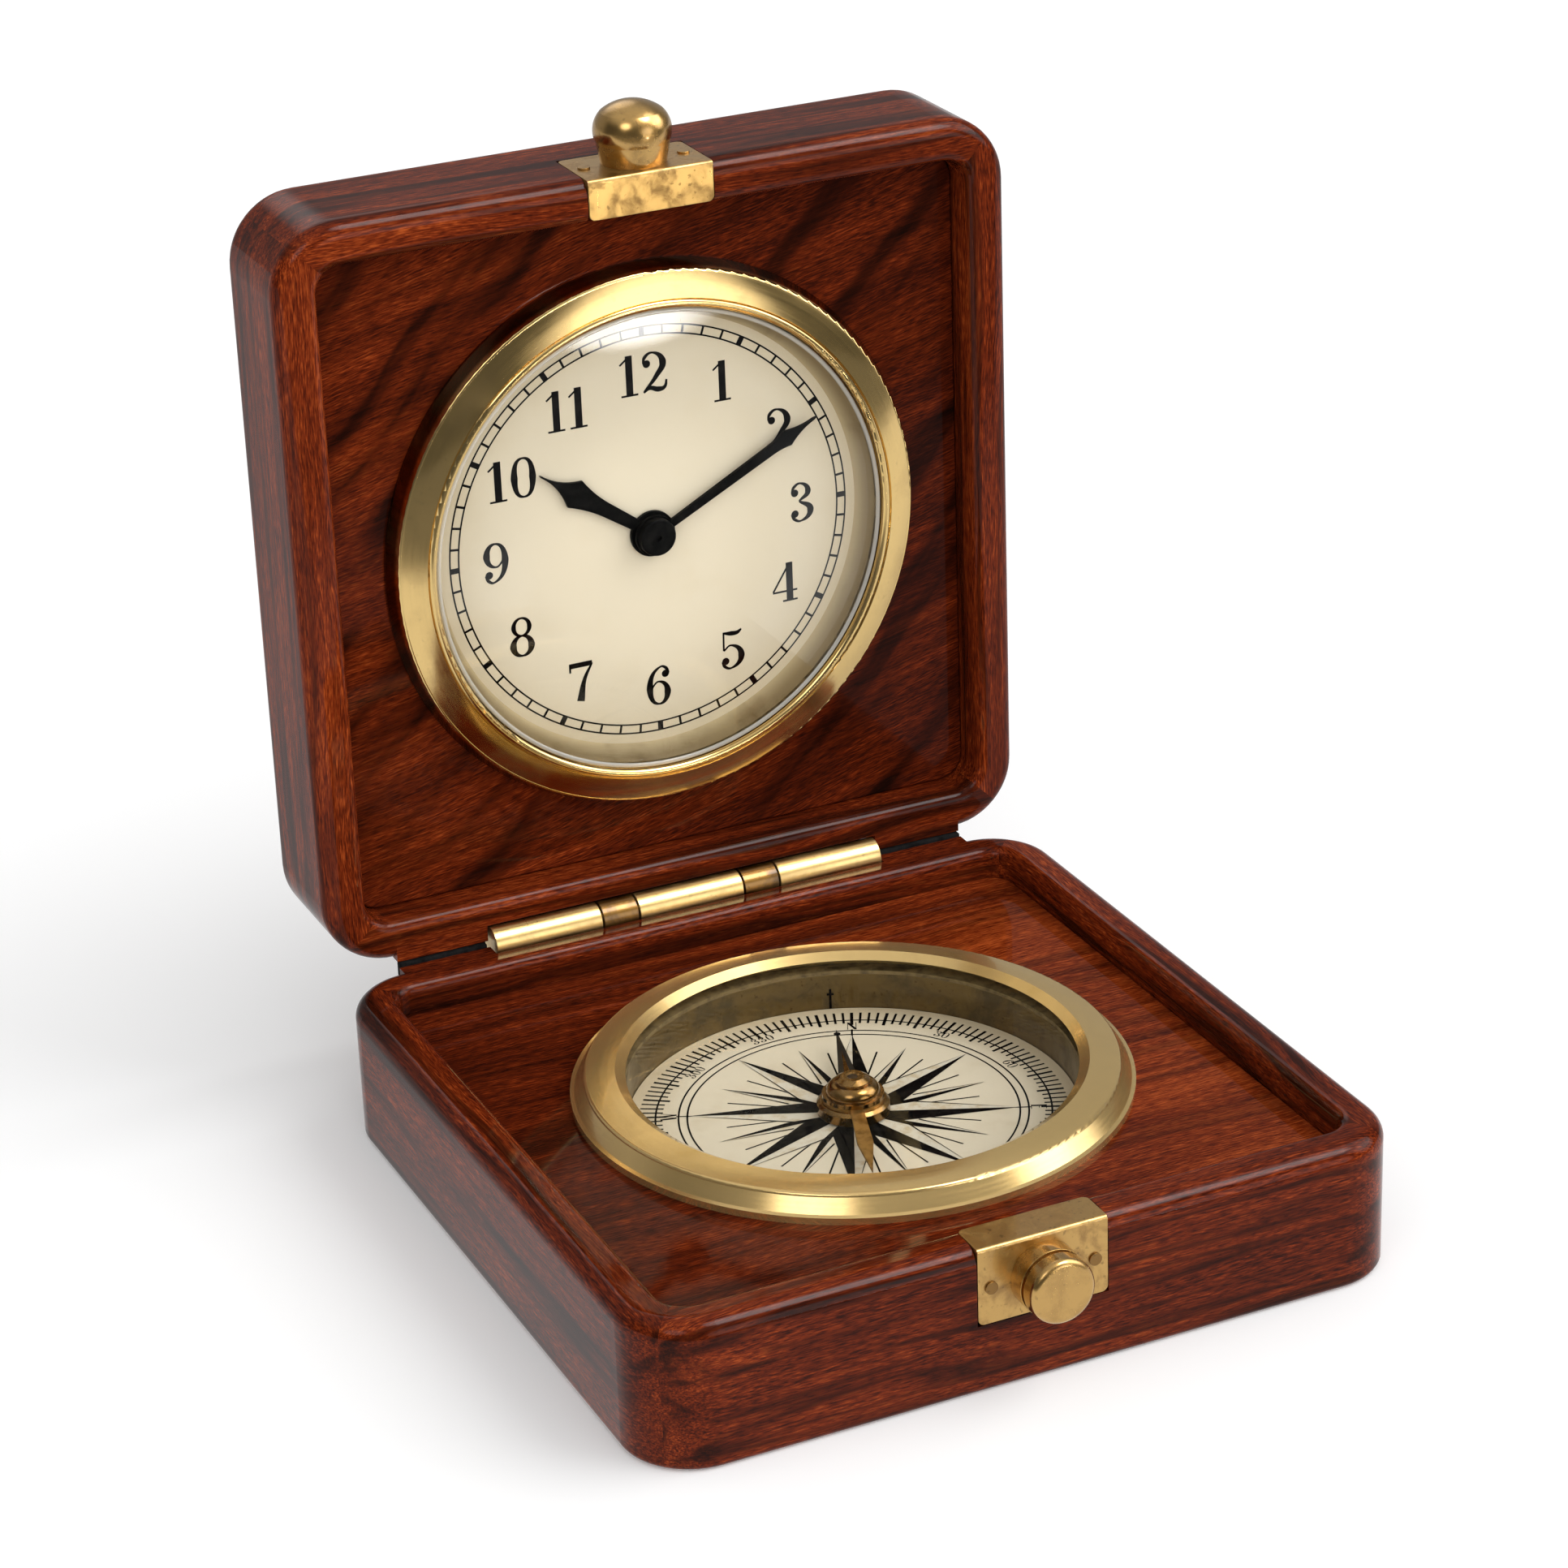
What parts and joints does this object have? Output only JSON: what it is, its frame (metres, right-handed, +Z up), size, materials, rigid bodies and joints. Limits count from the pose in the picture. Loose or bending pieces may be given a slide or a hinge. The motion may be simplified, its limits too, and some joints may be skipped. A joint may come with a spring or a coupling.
{
  "type": "travelling desk clock with compass in a hinged wooden box",
  "caption": "Square hinged wooden box that stands open at a right angle, with a round clock in the lid, a magnetic compass in the base and brass fittings.",
  "frame": {"origin": "centre of the base's flat underside, on the table", "axes": "+Z up; -Y is the front, where the catch is; +Y the hinge side; +X to the right seen from the front"},
  "size_m": [0.1, 0.1251, 0.1277],
  "materials": {
    "rosewood": "gloss lacquer",
    "brass": "polished, lightly tarnished",
    "steel": "satin",
    "black_enamel": "satin",
    "clear_glass": "polished",
    "printed_card": "matte print",
    "cream_dial": "matte print",
    "black_rubber": "matte",
    "white_plastic": "moulded",
    "green_board": "satin",
    "copper_winding": "enamelled wire"
  },
  "bodies": {
    "base": {"base_frame": "rosewood", "base_panel": "rosewood", "base_bottom": "rosewood", "base_hinge_leaf": "brass", "hinge_pin": "steel", "base_leaf_screws": "steel", "base_catch_plate": "brass", "base_plate_pins": "brass", "base_magnets": "steel", "base_knob": "brass", "compass_bowl": "brass", "compass_card": "printed_card", "compass_gasket": "black_rubber", "compass_glass": "clear_glass", "compass_bezel": "brass", "compass_pivot": "brass"},
    "lid": {"lid_frame": "rosewood", "lid_panel": "rosewood", "lid_back": "rosewood", "lid_hinge_leaf": "brass", "lid_leaf_screws": "steel", "lid_catch_plate": "brass", "lid_plate_pins": "brass", "lid_magnets": "steel", "lid_knob": "brass", "clock_case": "brass", "clock_grip_ring": "black_rubber", "clock_bezel": "brass", "clock_glass": "clear_glass", "rehaut_ring": "brass", "dial": "cream_dial", "movement_spacer": "white_plastic", "front_plate": "brass", "bridge": "brass", "bridge_screws": "steel", "back_cover": "white_plastic", "step_gear_box": "white_plastic", "drive_coil": "copper_winding", "coil_core": "steel", "circuit_board": "green_board", "button_cell": "steel", "cell_spring": "brass", "cell_side_contact": "brass"},
    "compass_needle": {"needle_hub": "brass", "needle": "black_enamel", "needle_cap": "brass"},
    "minute_work": {"centre_arbor": "brass", "minute_hand": "black_enamel", "hand_nut": "black_enamel"},
    "hour_work": {"hour_wheel": "brass", "hour_hand": "black_enamel"},
    "intermediate_wheel": {"minute_wheel": "brass"},
    "setting_work": {"setting_arbor": "brass", "setting_knob": "white_plastic"}
  },
  "joints": [
    {"name": "lid_hinge", "type": "hinge", "parent": "base", "child": "lid", "pos_m": [0, 0.0504, 0.0194], "axis": [1, 0, 0], "range_deg": [0, 90]},
    {"name": "needle_spin", "type": "hinge", "parent": "base", "child": "compass_needle", "pos_m": [0, 0, 0.0152], "axis": [0, 0, 1], "continuous": true},
    {"name": "minute_spin", "type": "hinge", "parent": "lid", "child": "minute_work", "pos_m": [0, 0.0558, 0.0698], "axis": [0, 1, 0], "continuous": true},
    {"name": "hour_spin", "type": "hinge", "parent": "lid", "child": "hour_work", "pos_m": [0, 0.0558, 0.0698], "axis": [0, 1, 0], "continuous": true},
    {"name": "intermediate_spin", "type": "hinge", "parent": "lid", "child": "intermediate_wheel", "pos_m": [0, 0.0558, 0.0618], "axis": [0, 1, 0], "continuous": true},
    {"name": "setting_spin", "type": "hinge", "parent": "lid", "child": "setting_work", "pos_m": [0.00693, 0.0558, 0.0578], "axis": [0, 1, 0], "continuous": true}
  ],
  "couplings": [
    {"joint": "hour_spin", "follows": "minute_spin", "ratio": 0.083333},
    {"joint": "intermediate_spin", "follows": "minute_spin", "ratio": -0.33333},
    {"joint": "setting_spin", "follows": "minute_spin", "ratio": 1}
  ]
}
